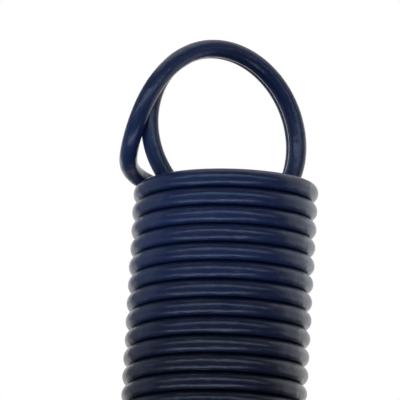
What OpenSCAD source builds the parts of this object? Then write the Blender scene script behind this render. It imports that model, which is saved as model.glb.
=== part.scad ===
// Close-wound extension spring with a double-loop eye at each end.
// One coated wire forms the whole spring. It is divided here where it flexes: one piece for each
// turn of the body, and for each eye a bend, two arches and the two sides between them.
// +Z runs along the coil axis to the upper eye, and the eyes open along Y.
// The origin is the middle of the body, on the coil axis. The winding is right-handed.

/* [Wire] */
// Diameter of the coated wire
wire_d = 4; // [3.6:0.05:4]
// Colour of the coating
coat_colour = "#283148"; // ["#283148", "#1f2a3f", "#2b2f3a"]

/* [Body] */
// Mean radius of the body's turns
coil_r = 18.5; // [18.5:0.1:18.9]
// Rise of the body for each turn, which leaves the turns just clear of each other
pitch = 4.12; // [4.1:0.02:4.3]
// Number of turns in the body
turns = 24; // [8:1:48]

/* [Eyes] */
// Mean radius of the loops
loop_r = 19.6; // [19.3:0.05:19.65]
// Height of the first loop's middle above the body's last turn
loop_h = 10.9; // [10.8:0.1:11.6]
// Offset of the first loop's middle to the side where the wire leaves the body
loop_side = 1.8; // [1.75:0.05:1.9]
// Distance of the first loop's plane in front of the coil axis
loop_front = 2.3; // [1.6:0.1:3]
// Backward lean of the loops from the coil axis, in degrees
loop_lean = 5; // [2:0.5:7]
// Distance that the wire moves back over an arch, and again under it
loop_step = 2.1; // [2.08:0.01:2.16]
// Offset of the second loop's middle, towards the other side
loop_drift = 1.85; // [1.8:0.05:2.2]
// Height of the second loop's middle above the first's
loop_rise = 1.15; // [0.8:0.05:1.5]
// Angle from the second loop's middle down to the cut end
tail_angle = 24; // [16:1:25]

/* [Bends] */
// Angle on the first loop where the bend runs into it
join_angle = 123; // [123:1:129]
// Pull of the bend along the body's last turn
body_pull = 18.6; // [17:0.2:21.6]
// Pull of the bend along the first loop
loop_pull = 20.2; // [20.2:0.2:23.4]
// Place of the low guide point that draws the bend sideways from the coil axis
low_guide_side = 18.3; // [17.8:0.1:21]
// Distance of the low guide point behind the coil axis
low_guide_back = 15; // [12:0.1:18]
// Height of the low guide point above the body's last turn
low_guide_up = 7.1; // [4.1:0.1:10.1]
// Place of the high guide point that draws the bend sideways from the coil axis
high_guide_side = 25.4; // [25.4:0.1:28.4]
// Distance of the high guide point in front of the coil axis
high_guide_front = 2.8; // [1.8:0.1:5.8]
// Depth of the high guide point below the body's last turn
high_guide_down = 4.1; // [2.1:0.1:7.1]

/* [Hidden] */
$fn = 96;
bend_rings = 56;
bend_sides = 20;
body_top = turns * pitch / 2;
loop_middle = [-loop_side, -loop_front, body_top + loop_h];
second_middle = [loop_drift, 2 * loop_step, loop_rise];
under_angle = atan(loop_step / (2 * loop_r - loop_drift));
first_side_r = (norm([2 * loop_r - loop_drift, loop_step]) - loop_rise) / 2;
second_side_r = first_side_r + loop_rise;
under_middle = [
    loop_r - first_side_r * cos(under_angle),
    loop_step + first_side_r * sin(under_angle),
    0
];

function coil_name(i) = str("coil_", i < 10 ? "0" : "", i);
COILS = [for (i = [1:turns]) coil_name(i)];
EYE_PIECES = ["bend", "first_arch", "first_side", "second_side", "second_arch"];

// Half a turn is half a ring, tilted so that its two ends are a half-turn's rise apart. Its end faces
// stay square to the wire and parallel to the axis, so the halves run smoothly into each other.
function tilt(radius, rise) = atan(rise / 2 / radius);
function ring_r(radius, rise) = norm([radius, rise / 2]);

// Turns a direction or a point from the loops' own frame into the spring's frame
function lean(p) = [
    p[0],
    p[1] * cos(loop_lean) + p[2] * sin(loop_lean),
    p[2] * cos(loop_lean) - p[1] * sin(loop_lean)
];

// Point of the smooth curve through the first and last of the points q, pulled by those between
function curve(q, t) =
    len(q) == 1 ? q[0] : curve([for (i = [0:len(q) - 2]) (1 - t) * q[i] + t * q[i + 1]], t);
function slope(q, t) = curve([for (i = [0:len(q) - 2]) q[i + 1] - q[i]], t);
function unit(v) = v / norm(v);

// Part of a ring of wire in the XY plane
module ring_part(radius, start, sweep) {
    rotate_extrude(angle = sweep, start = start)
        translate([radius, 0]) circle(d = wire_d);
}

// One turn of the body, which starts and ends at the back, at height z
module turn(z) {
    angle = tilt(coil_r, pitch / 2);
    radius = ring_r(coil_r, pitch / 2);
    translate([0, 0, z + pitch / 4]) rotate([-angle, 0, 0]) ring_part(radius, 90, 180);
    translate([0, 0, z + pitch * 3 / 4]) rotate([angle, 0, 0]) ring_part(radius, 270, 180);
}

// Puts its children in the upper eye's own frame, whose origin is where the first loop's plane
// starts. There X and Z run across and up the loops, and Y runs from the first loop to the second.
module in_eye() {
    translate(loop_middle) rotate([-loop_lean, 0, 0]) children();
}

// Part of an upright ring round a middle, turned about Z by angle
module upright_part(middle, angle, radius, start, sweep) {
    in_eye() translate(middle) rotate([0, 0, angle]) rotate([90, 0, 0]) ring_part(radius, start, sweep);
}

// Part of the top half of a loop, which steps back by loop_step from its left end to its right end
module arch_part(middle, start, sweep) {
    angle = tilt(loop_r, loop_step);
    radius = ring_r(loop_r, loop_step);
    upright_part(middle + [0, loop_step / 2, 0], angle, radius, start, sweep);
}

// The first loop's arch, from the bend over the top
module first_arch() {
    arch_part([0, 0, 0], 0, join_angle);
}

// From the first arch down to the lowest point, inside the body
module first_side() {
    upright_part(under_middle, -under_angle, first_side_r, 270, 90);
}

// From the lowest point up to the second arch, behind the bend
module second_side() {
    upright_part(under_middle + [0, 0, loop_rise], -under_angle, second_side_r, 180, 90);
}

// The second loop's arch, from the second side over the top and down to the cut end
module second_arch() {
    arch_part(second_middle, -tail_angle, 180 + tail_angle);
}

// The bend from the body's last turn into the first loop, swept along a smooth curve
module bend() {
    turn_angle = tilt(loop_r, loop_step);
    join_r = ring_r(loop_r, loop_step);
    across = [cos(turn_angle), sin(turn_angle), 0];
    join = loop_middle + lean([0, loop_step / 2, 0]
        + join_r * (cos(join_angle) * across + [0, 0, sin(join_angle)]));
    join_way = lean(sin(join_angle) * across - [0, 0, cos(join_angle)]);
    start = [0, coil_r, body_top];
    low_guide = [-low_guide_side, low_guide_back, body_top + low_guide_up];
    high_guide = [-high_guide_side, -high_guide_front, body_top - high_guide_down];
    q = [start, start - [body_pull, 0, 0], low_guide, high_guide, join - loop_pull * join_way, join];
    rings = [for (i = [0:bend_rings])
        let (
            t = i / bend_rings,
            side = unit(cross([0, 1, 1], slope(q, t))),
            other = unit(cross(slope(q, t), side))
        )
        for (k = [0:bend_sides - 1])
            let (a = 360 * k / bend_sides)
            curve(q, t) + wire_d / 2 * (cos(a) * side + sin(a) * other)
    ];
    walls = [for (i = [0:bend_rings - 1]) for (k = [0:bend_sides - 1])
        let (next = (k + 1) % bend_sides, row = i * bend_sides)
        for (face = [
            [row + k, row + bend_sides + k, row + bend_sides + next],
            [row + k, row + bend_sides + next, row + next]
        ]) face
    ];
    first_face = [for (k = [0:bend_sides - 1]) k];
    last_face = [for (k = [bend_sides - 1:-1:0]) bend_rings * bend_sides + k];
    polyhedron(points = rings, faces = concat([first_face], walls, [last_face]));
}

// The lower end is the upper end turned over about the Y axis
module turned_over() {
    rotate([0, 180, 0]) children();
}

module coil(i) color(coat_colour) turn(body_top - i * pitch);
module upper_bend() color(coat_colour) bend();
module upper_first_arch() color(coat_colour) first_arch();
module upper_first_side() color(coat_colour) first_side();
module upper_second_side() color(coat_colour) second_side();
module upper_second_arch() color(coat_colour) second_arch();
module lower_bend() color(coat_colour) turned_over() bend();
module lower_first_arch() color(coat_colour) turned_over() first_arch();
module lower_first_side() color(coat_colour) turned_over() first_side();
module lower_second_side() color(coat_colour) turned_over() second_side();
module lower_second_arch() color(coat_colour) turned_over() second_arch();

upper_second_arch();
upper_second_side();
upper_first_side();
upper_first_arch();
upper_bend();
for (i = [1:turns]) coil(i);
lower_bend();
lower_first_arch();
lower_first_side();
lower_second_side();
lower_second_arch();
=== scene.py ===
import math

import bpy
import numpy as np
from mathutils import Matrix, Vector


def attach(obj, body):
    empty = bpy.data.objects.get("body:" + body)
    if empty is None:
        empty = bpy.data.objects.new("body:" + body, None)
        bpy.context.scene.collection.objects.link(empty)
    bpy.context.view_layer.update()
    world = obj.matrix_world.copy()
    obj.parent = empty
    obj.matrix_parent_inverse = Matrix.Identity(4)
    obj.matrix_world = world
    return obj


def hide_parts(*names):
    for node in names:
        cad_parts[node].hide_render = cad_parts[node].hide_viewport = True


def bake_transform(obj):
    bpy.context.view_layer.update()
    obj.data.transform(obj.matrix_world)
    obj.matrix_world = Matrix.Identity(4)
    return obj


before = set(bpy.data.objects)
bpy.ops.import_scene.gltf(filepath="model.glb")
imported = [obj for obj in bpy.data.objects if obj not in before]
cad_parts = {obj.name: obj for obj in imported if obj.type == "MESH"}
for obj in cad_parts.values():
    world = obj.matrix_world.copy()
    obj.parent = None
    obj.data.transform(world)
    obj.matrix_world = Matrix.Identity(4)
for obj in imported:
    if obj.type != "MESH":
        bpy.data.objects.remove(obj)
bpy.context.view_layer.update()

MM = 0.001
WIRE_PLACE = "wire_place"
UPPER, LOWER = "upper_eye", "lower_eye"
EYE_PARTS = ["bend", "first_arch", "first_side", "second_side", "second_arch"]

# The wire's route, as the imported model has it
WIRE_R = 2.0
COIL_R = 18.5
PITCH = 4.12
TURNS = 24
WINDING = TURNS * math.tau
BODY_TOP = TURNS * PITCH / 2
LOOP_R = 19.6
LOOP_MIDDLE = np.array([-1.8, -2.3, BODY_TOP + 10.9])
LOOP_LEAN = math.radians(5)
LOOP_STEP = 2.1
LOOP_DRIFT = 1.85
LOOP_RISE = 1.15
JOIN_ANGLE = math.radians(123)
TAIL_ANGLE = math.radians(24)
BODY_PULL = 18.6
LOOP_PULL = 20.2
LOW_GUIDE = np.array([-18.3, 15, BODY_TOP + 7.1])
HIGH_GUIDE = np.array([-25.4, -2.8, BODY_TOP - 4.1])

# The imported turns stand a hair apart, and the real ones touch, so the body's wire is that much
# thicker. It tapers to its own size over the first length of each eye.
TOUCHING_R = 2.062
TAPER_LENGTH = 14.0

# The uneven lay of the turns: the size, pace and start of each outward wave, and the slope of the lean
LAY_WAVES = ((0.035, 0.37, 0.6), (0.02, 1.21, 2.0))
LAY_LEAN = 0.0085

# How finely the wire is meshed
SIDES = 24
RINGS_A_TURN = 96
RING_GAP = 1.0
BEND_RINGS = 72
END_ROUND = 0.45
END_RINGS = 5

# Lengths of wire in one turn and in the body, measured from the body's lower end
TURN_LENGTH = math.tau * math.hypot(COIL_R, PITCH / math.tau)
BODY_LENGTH = TURNS * TURN_LENGTH
WIRE_MIDDLE = BODY_LENGTH / 2

# The photograph's view
VIEW_TURN = math.radians(30)
VIEW_RISE = math.radians(11.2)
VIEW_ROLL = math.radians(3.4)
VIEW_WIDTH = 89.07
VIEW_DISTANCE = 1200
VIEW_LEVEL = 44.98
VIEW_SHIFT = (-5.667, 0.724)
SENSOR = 36


# ---------------------------------------------------------------- the wire's route

def tilt(radius, rise):
    return math.atan(rise / 2 / radius)


def waver(angle):
    """How far the wire lies outwards and upwards of an even helix, as winding leaves it.

    Both fade out at the ends of the body: the waves over one turn, and the lean over one radian.
    """
    from_end = np.minimum(angle, WINDING - angle)
    out = sum(size * np.sin(pace * angle + start) for size, pace, start in LAY_WAVES)
    lean = LAY_LEAN * COIL_R * np.sin(angle + VIEW_TURN - math.pi)
    return out * np.clip(from_end / math.tau, 0, 1), lean * np.clip(from_end, 0, 1)


def body_points(angle):
    """Points on the body's wire at angles measured up the winding from its lower end."""
    out, up = waver(angle)
    radius = COIL_R + out
    z = -BODY_TOP + PITCH * angle / math.tau + up
    return np.stack([-radius * np.sin(angle), radius * np.cos(angle), z], 1)


def leaned(vectors):
    """Turns points or directions from the loops' own frame into the spring's."""
    cos, sin = math.cos(LOOP_LEAN), math.sin(LOOP_LEAN)
    x, y, z = vectors[..., 0], vectors[..., 1], vectors[..., 2]
    return np.stack([x, y * cos + z * sin, z * cos - y * sin], -1)


def upright_arc(middle, turned, radius, start, end):
    """Points of an arc in an upright plane of the loops' frame, which is turned about the loops' Z."""
    angles = np.linspace(start, end, int(radius * abs(end - start) / RING_GAP))
    across = np.array([math.cos(turned), math.sin(turned), 0])
    up = np.array([0, 0, 1])
    arc = np.outer(np.cos(angles), across) + np.outer(np.sin(angles), up)
    return LOOP_MIDDLE + leaned(middle + radius * arc)


def bend_points(join, join_way):
    """Points of the bend, a smooth curve from the body's last turn into the first loop.

    It starts at the first guide, ends at the last one, and is pulled by those between.
    """
    slope = PITCH / math.tau / COIL_R
    start = np.array([0, COIL_R, BODY_TOP])
    leave = np.array([-1, 0, slope]) / math.hypot(1, slope)
    end_guides = [join - LOOP_PULL * join_way, join]
    guides = [start, start + BODY_PULL * leave, LOW_GUIDE, HIGH_GUIDE] + end_guides
    t = np.linspace(0, 1, BEND_RINGS)[:, None]
    last = len(guides) - 1
    shares = [math.comb(last, k) * (1 - t) ** (last - k) * t ** k for k in range(last + 1)]
    return sum(share * guide for share, guide in zip(shares, guides))


def eye_points():
    """Points of the upper eye's wire, from the body's last turn to the cut end."""
    turned = tilt(LOOP_R, LOOP_STEP)
    radius = math.hypot(LOOP_R, LOOP_STEP / 2)
    under = math.atan(LOOP_STEP / (2 * LOOP_R - LOOP_DRIFT))
    first_r = (math.hypot(2 * LOOP_R - LOOP_DRIFT, LOOP_STEP) - LOOP_RISE) / 2
    second_r = first_r + LOOP_RISE
    under_middle = np.array([
        LOOP_R - first_r * math.cos(under),
        LOOP_STEP + first_r * math.sin(under),
        0,
    ])
    first_middle = np.array([0, LOOP_STEP / 2, 0])
    second_middle = np.array([LOOP_DRIFT, 2.5 * LOOP_STEP, LOOP_RISE])
    across = np.array([math.cos(turned), math.sin(turned), 0])
    up = np.array([0, 0, 1])
    to_join = math.cos(JOIN_ANGLE) * across + math.sin(JOIN_ANGLE) * up
    join = LOOP_MIDDLE + leaned(first_middle + radius * to_join)
    join_way = leaned(math.sin(JOIN_ANGLE) * across - math.cos(JOIN_ANGLE) * up)
    quarter = math.pi / 2
    parts = [
        bend_points(join, join_way),
        upright_arc(first_middle, turned, radius, JOIN_ANGLE, 0),
        upright_arc(under_middle, -under, first_r, 0, -quarter),
        upright_arc(under_middle + LOOP_RISE * up, -under, second_r, -quarter, -2 * quarter),
        upright_arc(second_middle, turned, radius, 2 * quarter, -TAIL_ANGLE),
    ]
    return np.concatenate([parts[0]] + [part[1:] for part in parts[1:]])


# ---------------------------------------------------------------- frames along a route

def unit(vectors):
    return vectors / np.linalg.norm(vectors, axis=-1, keepdims=True)


def ways_along(points):
    """Direction of the wire at each point, from its neighbours on both sides."""
    return unit(np.gradient(points, axis=0))


def lengths_along(points):
    steps = np.linalg.norm(np.diff(points, axis=0), axis=1)
    return np.concatenate([[0], np.cumsum(steps)])


def outs_of_body(points, ways):
    """Outward direction of each ring of the body, square to the wire."""
    out = points * np.array([1, 1, 0])
    return unit(out - (out * ways).sum(1, keepdims=True) * ways)


def outs_carried(ways, first_out):
    """Outward directions carried along a bent wire without twisting it."""
    outs = [first_out]
    for way in ways[1:]:
        out = outs[-1] - np.dot(outs[-1], way) * way
        outs.append(out / np.linalg.norm(out))
    return np.array(outs)


# ---------------------------------------------------------------- meshes

# Numbers of the points of one ring, and their angles round the wire
RING = np.arange(SIDES)
ROUND = RING * math.tau / SIDES


def tube_sides(count):
    """Corners of the four-sided faces of a tube with count rings."""
    rows = np.arange(count - 1)[:, None] * SIDES
    after = (RING + 1) % SIDES
    quads = np.stack([rows + RING, rows + after, rows + SIDES + after, rows + SIDES + RING], -1)
    return quads.reshape(-1, 4)


def keep_wire_place(mesh, lengths, radii):
    """Stores where each point is on the straightened wire, which the coating's patterns follow."""
    straight = np.empty((len(lengths), SIDES, 3))
    straight[..., 0] = lengths[:, None]
    straight[..., 1] = radii[:, None] * np.cos(ROUND)
    straight[..., 2] = radii[:, None] * np.sin(ROUND)
    kept = mesh.attributes.new(WIRE_PLACE, "FLOAT_VECTOR", "POINT")
    kept.data.foreach_set("vector", straight.astype(np.float32).ravel())


def wire_mesh(name, points, ways, outs, lengths, radii, tips):
    """A closed tube of wire. tips turns each ring's normals from square to the wire (0) to along it."""
    ups = np.cross(ways, outs)
    spread = np.cos(ROUND)[None, :, None] * outs[:, None] + np.sin(ROUND)[None, :, None] * ups[:, None]
    places = points[:, None] + radii[:, None, None] * spread
    normals = unit(np.cos(tips)[:, None, None] * spread + np.sin(tips)[:, None, None] * ways[:, None])
    sides = tube_sides(len(points))
    first_face = RING[::-1]
    last_face = (len(points) - 1) * SIDES + RING
    mesh = bpy.data.meshes.new(name)
    faces = sides.tolist() + [first_face.tolist(), last_face.tolist()]
    mesh.from_pydata((places.reshape(-1, 3) * MM).tolist(), [], faces)
    side_normals = normals.reshape(-1, 3)[sides.reshape(-1)]
    end_normals = [np.tile(-ways[0], (SIDES, 1)), np.tile(ways[-1], (SIDES, 1))]
    mesh.shade_smooth()
    mesh.normals_split_custom_set(np.concatenate([side_normals] + end_normals).tolist())
    keep_wire_place(mesh, lengths, radii)
    piece = bpy.data.objects.new(name, mesh)
    bpy.context.scene.collection.objects.link(piece)
    return piece


def body_turn(number):
    """One turn of the body, counted from the top, closed at both ends where it meets its neighbours."""
    start = (TURNS - number) * math.tau
    step = math.tau / RINGS_A_TURN
    angles = start + np.arange(-1, RINGS_A_TURN + 2) * step
    points = body_points(angles)
    ways = ways_along(points)[1:-1]
    points = points[1:-1]
    outs = outs_of_body(points, ways)
    lengths = angles[1:-1] / math.tau * TURN_LENGTH
    plain = np.zeros(len(points))
    name = f"coil_{number:02d}"
    piece = wire_mesh(f"{name}_wire", points, ways, outs, lengths, plain + TOUCHING_R, plain)
    shares = (WINDING - angles[1:-1]) / WINDING
    open_with_spring(piece, np.repeat(shares, SIDES))
    finish_piece(piece, [name])


def uneased(shares):
    """Places from 0 to 1 whose smooth step, 3x^2 - 2x^3, gives the shares."""
    return 0.5 - np.sin(np.arcsin(1 - 2 * np.clip(shares, 0, 1)) / 3)


def open_with_spring(piece, shares):
    """Puts every point at the place whose smooth step gives its own share of the spring's stretch, bakes
    the piece's placement into the mesh there, and then puts the points back where they were wound.
    """
    mesh = piece.data
    wound = np.empty(len(mesh.vertices) * 3, np.float32)
    mesh.vertices.foreach_get("co", wound)
    laid = np.zeros((len(shares), 3), np.float32)
    laid[:, 0] = uneased(shares)
    mesh.vertices.foreach_set("co", laid.ravel())
    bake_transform(piece)
    mesh.vertices.foreach_set("co", wound)
    mesh.update()


def way_off_body():
    """Direction of the wire where the body's last turn ends."""
    return ways_along(body_points(WINDING + np.array([-1, 0, 1]) * math.tau / RINGS_A_TURN))[1]


def with_round_tip(points, ways, radii):
    """Rounds the edge of the cut end. Also gives each ring's tip angle, which is 0 before the edge."""
    lengths = lengths_along(points)
    keep = lengths < lengths[-1] - END_ROUND - RING_GAP / 2
    angles = np.linspace(0, math.pi / 2, END_RINGS)
    edge = points[-1] - np.outer(END_ROUND * (1 - np.sin(angles)), ways[-1])
    return (
        np.concatenate([points[keep], edge]),
        np.concatenate([ways[keep], np.tile(ways[-1], (END_RINGS, 1))]),
        np.concatenate([radii[keep], WIRE_R - END_ROUND * (1 - np.cos(angles))]),
        np.concatenate([np.zeros(keep.sum()), angles]),
    )


def eye_wire(end):
    """The bend and both loops of an eye, as the one length of wire that they are."""
    points = eye_points()
    ways = ways_along(points)
    ways[0] = way_off_body()
    taper = np.clip(lengths_along(points) / TAPER_LENGTH, 0, 1)
    radii = TOUCHING_R + (WIRE_R - TOUCHING_R) * taper
    points, ways, radii, tips = with_round_tip(points, ways, radii)
    lengths = lengths_along(points) + BODY_LENGTH
    outs = outs_carried(ways, outs_of_body(points[:1], ways[:1])[0])
    if end == "lower":
        over = np.array([-1, 1, -1])
        points, ways, outs = points * over, ways * over, outs * over
        lengths = BODY_LENGTH - lengths
    piece = wire_mesh(f"{end}_eye_wire", points, ways, outs, lengths, radii, tips)
    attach(piece, UPPER if end == "upper" else LOWER)
    finish_piece(piece, [f"{end}_{part}" for part in EYE_PARTS])


def finish_piece(piece, nodes):
    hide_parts(*nodes)
    piece.data.materials.append(COAT)


# ---------------------------------------------------------------- the coating

# Each colour in its darker and its lighter tone. Navy is the coat's own colour; slate is painted shade, a
# darker, greyer tone that stands in for less light on the body's middle turns. The wire is fully shaded
# at its middle, and plain navy from this length away from there.
NAVY = (0.0113, 0.0255, 0.093), (0.0146, 0.0330, 0.118)
PAINTED_SHADE_SLATE = (0.0058, 0.0078, 0.0250), (0.0076, 0.0102, 0.0320)
UNSHADED_FROM = 9.5 * TURN_LENGTH
SCUFF = (0.075, 0.085, 0.12)
SCUFF_COVER = 0.55

# Scales of the patterns, for each millimetre along the wire and in the two directions across it, or
# the same in all three
DRIFT_SCALE = (0.05, 0.4, 0.4)
SCUFF_SCALE = (0.30, 2.2, 2.2)
RIPPLE_SCALE = (0.30, 0.40, 0.40)
SPECK_SCALE = 0.8
PEEL_SCALE = 1.1

# The part of a noise's values over which each pattern goes from none to full
DRIFT_FROM, DRIFT_TO = 0.35, 0.65
SCUFF_FROM, SCUFF_TO = 0.58, 0.70
SPECK_FROM, SPECK_TO = 0.25, 0.75

# Heights of the bumps in metres, and how the surface takes the light
RIPPLE_HEIGHT = 0.00040
PEEL_HEIGHT = 0.00006
BUMP_STRENGTH = 0.5
SMOOTHEST, ROUGHEST = 0.28, 0.35
COAT_IOR = 1.5
COAT_SPECULAR = 0.46


class Nodes:
    """Short names for adding and joining the nodes of one material."""

    def __init__(self, tree):
        self.tree = tree

    def add(self, kind, **settings):
        node = self.tree.nodes.new(kind)
        for key, value in settings.items():
            setattr(node, key, value)
        return node

    def join(self, source, target):
        self.tree.links.new(source, target)

    def stretched(self, place, scale):
        node = self.add("ShaderNodeMapping")
        self.join(place, node.inputs["Vector"])
        node.inputs["Scale"].default_value = scale
        return node.outputs["Vector"]

    def noise(self, place, scale=1.0, detail=2.0, rough=0.5):
        node = self.add("ShaderNodeTexNoise")
        self.join(place, node.inputs["Vector"])
        node.inputs["Scale"].default_value = scale
        node.inputs["Detail"].default_value = detail
        node.inputs["Roughness"].default_value = rough
        return node.outputs["Fac"]

    def maths(self, operation, *values):
        node = self.add("ShaderNodeMath", operation=operation)
        for socket, value in zip(node.inputs, values):
            if isinstance(value, float):
                socket.default_value = value
            else:
                self.join(value, socket)
        return node.outputs["Value"]

    def ranged(self, value, low, high, to_low=0.0, to_high=1.0):
        node = self.add("ShaderNodeMapRange", interpolation_type="SMOOTHSTEP")
        self.join(value, node.inputs["Value"])
        node.inputs["From Min"].default_value = low
        node.inputs["From Max"].default_value = high
        node.inputs["To Min"].default_value = to_low
        node.inputs["To Max"].default_value = to_high
        return node.outputs["Result"]

    def mix(self, share, first, second):
        node = self.add("ShaderNodeMix", data_type="RGBA")
        self.join(share, node.inputs["Factor"])
        for socket, value in ((node.inputs["A"], first), (node.inputs["B"], second)):
            if isinstance(value, tuple):
                socket.default_value = (*value, 1)
            else:
                self.join(value, socket)
        return node.outputs["Result"]

    def bump(self, height, distance, under=None):
        node = self.add("ShaderNodeBump")
        node.inputs["Strength"].default_value = BUMP_STRENGTH
        node.inputs["Distance"].default_value = distance
        self.join(height, node.inputs["Height"])
        if under is not None:
            self.join(under, node.inputs["Normal"])
        return node.outputs["Normal"]


def unshaded_share(nodes, place):
    """0 at the middle of the wire, where the painted shade is full, rising to 1 at the distance where the
    wire is plain navy.
    """
    parts = nodes.add("ShaderNodeSeparateXYZ")
    nodes.join(place, parts.inputs["Vector"])
    past_middle = nodes.maths("SUBTRACT", parts.outputs["X"], WIRE_MIDDLE)
    return nodes.ranged(nodes.maths("ABSOLUTE", past_middle), 0, UNSHADED_FROM)


def coat_colour(nodes, place):
    """Navy, with painted shade (a darker slate) over the body's middle turns, drifting in tone along the
    wire, with small scuffs over them.
    """
    drift = nodes.noise(nodes.stretched(place, DRIFT_SCALE), detail=4.0)
    lighter = nodes.ranged(drift, DRIFT_FROM, DRIFT_TO)
    # Painted shade: the middle turns get the darker slate tone in place of navy.
    tone = nodes.mix(unshaded_share(nodes, place), nodes.mix(lighter, *PAINTED_SHADE_SLATE), nodes.mix(lighter, *NAVY))
    scuff = nodes.noise(nodes.stretched(place, SCUFF_SCALE), detail=4.0, rough=0.65)
    cover = nodes.ranged(scuff, SCUFF_FROM, SCUFF_TO, to_high=SCUFF_COVER)
    return nodes.mix(cover, tone, SCUFF)


def coat_roughness(nodes, place):
    """Roughness that varies a little from spot to spot."""
    speck = nodes.noise(place, SPECK_SCALE, rough=0.6)
    return nodes.ranged(speck, SPECK_FROM, SPECK_TO, SMOOTHEST, ROUGHEST)


def coat_surface(nodes, place):
    """Soft ripples along the wire, which break up the streaks of light, and fine peel over them."""
    ripple = nodes.noise(nodes.stretched(place, RIPPLE_SCALE))
    peel = nodes.noise(place, PEEL_SCALE)
    return nodes.bump(peel, PEEL_HEIGHT, under=nodes.bump(ripple, RIPPLE_HEIGHT))


def coat_material():
    """The semi-gloss coating of the whole wire."""
    material = bpy.data.materials.new("navy_coat")
    material.use_nodes = True
    nodes = Nodes(material.node_tree)
    shader = material.node_tree.nodes["Principled BSDF"]
    place = nodes.add("ShaderNodeAttribute", attribute_name=WIRE_PLACE).outputs["Vector"]
    nodes.join(coat_colour(nodes, place), shader.inputs["Base Color"])
    nodes.join(coat_roughness(nodes, place), shader.inputs["Roughness"])
    nodes.join(coat_surface(nodes, place), shader.inputs["Normal"])
    shader.inputs["IOR"].default_value = COAT_IOR
    shader.inputs["Specular IOR Level"].default_value = COAT_SPECULAR
    return material


# ---------------------------------------------------------------- floor, light and camera

# Places of the floor, the lights' aim and the camera's clipping, in metres
FLOOR_Z = -0.6
FLOOR_R = 6.0
AIM = Vector((0, 0, 0.03))
NEAR_CLIP, FAR_CLIP = 0.01, 50

FLOOR_SIDES = 64
FLOOR_GREY = 0.8
FLOOR_ROUGHNESS = 0.9
FLOOR_GLOW = 0.6
WHITE = (1, 1, 1)
COOL = (0.72, 0.84, 1)
PALE = (0.92, 0.96, 1)

# Strength of the white surroundings, as light on the spring and as seen by the camera
WORLD_LIGHT = 0.065
WORLD_SEEN = 1.0


def floor_material():
    material = bpy.data.materials.new("pale_floor")
    material.use_nodes = True
    shader = material.node_tree.nodes["Principled BSDF"]
    shader.inputs["Base Color"].default_value = (FLOOR_GREY, FLOOR_GREY, FLOOR_GREY, 1)
    shader.inputs["Roughness"].default_value = FLOOR_ROUGHNESS
    shader.inputs["Emission Color"].default_value = (*WHITE, 1)
    shader.inputs["Emission Strength"].default_value = FLOOR_GLOW
    return material


def floor():
    """A round floor far below the spring, which the camera sees and the spring doesn't."""
    mesh = bpy.data.meshes.new("floor")
    angles = [math.tau * k / FLOOR_SIDES for k in range(FLOOR_SIDES)]
    rim = [(FLOOR_R * math.cos(angle), FLOOR_R * math.sin(angle), FLOOR_Z) for angle in angles]
    mesh.from_pydata(rim, [], [list(range(FLOOR_SIDES))])
    mesh.materials.append(floor_material())
    plane = bpy.data.objects.new("floor", mesh)
    plane.visible_glossy = False
    plane.visible_diffuse = False
    bpy.context.scene.collection.objects.link(plane)


def panel(name, azimuth, elevation, distance, size, power, colour=WHITE):
    """A soft rectangular light that faces the spring. In degrees, metres and watts."""
    lamp = bpy.data.lights.new(name, "AREA")
    lamp.shape = "RECTANGLE"
    lamp.size, lamp.size_y = size
    lamp.energy = power
    lamp.color = colour
    turn, rise = math.radians(azimuth), math.radians(elevation)
    way = Vector((math.sin(turn) * math.cos(rise), -math.cos(turn) * math.cos(rise), math.sin(rise)))
    holder = bpy.data.objects.new(name, lamp)
    holder.location = AIM + distance * way
    holder.rotation_mode = "QUATERNION"
    holder.rotation_quaternion = way.to_track_quat("Z", "Y")
    holder.visible_camera = False
    bpy.context.scene.collection.objects.link(holder)
    return holder


def background(node, strength):
    """Makes a background node plain white and gives its output."""
    node.inputs["Color"].default_value = (*WHITE, 1)
    node.inputs["Strength"].default_value = strength
    return node.outputs["Background"]


def surroundings():
    """White to the camera, and only a dim light on the spring."""
    world = bpy.data.worlds.new("studio")
    bpy.context.scene.world = world
    world.use_nodes = True
    nodes = Nodes(world.node_tree)
    either = nodes.add("ShaderNodeMixShader")
    nodes.join(nodes.add("ShaderNodeLightPath").outputs["Is Camera Ray"], either.inputs["Fac"])
    nodes.join(background(world.node_tree.nodes["Background"], WORLD_LIGHT), either.inputs[1])
    nodes.join(background(nodes.add("ShaderNodeBackground"), WORLD_SEEN), either.inputs[2])
    nodes.join(either.outputs["Shader"], world.node_tree.nodes["World Output"].inputs["Surface"])


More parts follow.
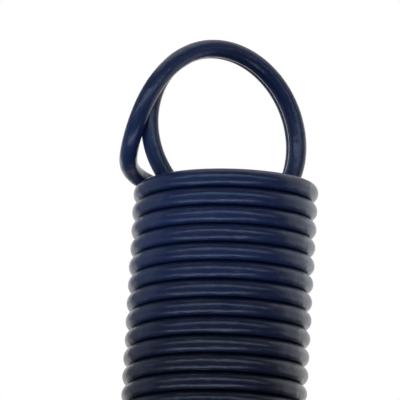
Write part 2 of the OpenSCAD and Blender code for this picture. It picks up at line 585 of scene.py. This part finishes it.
def lights():
    """The key light only makes highlights, and the fill light only lifts the dull side."""
    key = panel("key_panel", azimuth=-34, elevation=25, distance=0.9, size=(3.8, 0.22), power=8.4,
                colour=COOL)
    key.visible_diffuse = False
    fill = panel("fill_panel", azimuth=-60, elevation=8, distance=1.2, size=(1.0, 1.0), power=4.9,
                 colour=PALE)
    fill.visible_glossy = False
    panel("low_panel", azimuth=-44, elevation=-62, distance=0.55, size=(0.95, 0.10), power=1.5,
          colour=COOL)
    panel("left_panel", azimuth=-140, elevation=3, distance=1.0, size=(0.9, 1.8), power=2.1,
          colour=COOL)
    panel("right_panel", azimuth=80, elevation=12, distance=1.0, size=(0.9, 1.8), power=4.4,
          colour=PALE)
    panel("back_panel", azimuth=143, elevation=5, distance=1.2, size=(2.3, 1.2), power=11)
    panel("top_panel", azimuth=150, elevation=72, distance=1.2, size=(1.4, 1.4), power=6)


def place_camera():
    """The photograph's viewing angle: from below the eye's middle, with a long lens and a little roll."""
    sin, cos = math.sin(VIEW_TURN), math.cos(VIEW_TURN)
    forward = Vector((sin * math.cos(VIEW_RISE), cos * math.cos(VIEW_RISE), math.sin(VIEW_RISE)))
    level = Vector((cos, -sin, 0))
    upward = level.cross(forward)
    right = math.cos(VIEW_ROLL) * level + math.sin(VIEW_ROLL) * upward
    up = math.cos(VIEW_ROLL) * upward - math.sin(VIEW_ROLL) * level
    aim = Vector((0, 0, VIEW_LEVEL)) + VIEW_SHIFT[0] * right + VIEW_SHIFT[1] * up
    data = bpy.data.cameras.new("camera")
    data.sensor_width = SENSOR
    data.lens = SENSOR * VIEW_DISTANCE / VIEW_WIDTH
    data.clip_start, data.clip_end = NEAR_CLIP, FAR_CLIP
    camera = bpy.data.objects.new("camera", data)
    bpy.context.scene.collection.objects.link(camera)
    turned = Matrix((right, up, -forward)).transposed().to_4x4()
    camera.matrix_world = Matrix.Translation((aim - VIEW_DISTANCE * forward) * MM) @ turned
    bpy.context.scene.camera = camera


# ---------------------------------------------------------------- the whole

COAT = coat_material()
for number in range(1, TURNS + 1):
    body_turn(number)
eye_wire("upper")
eye_wire("lower")
floor()
surroundings()
lights()
place_camera()
bpy.context.scene.view_settings.view_transform = "Standard"
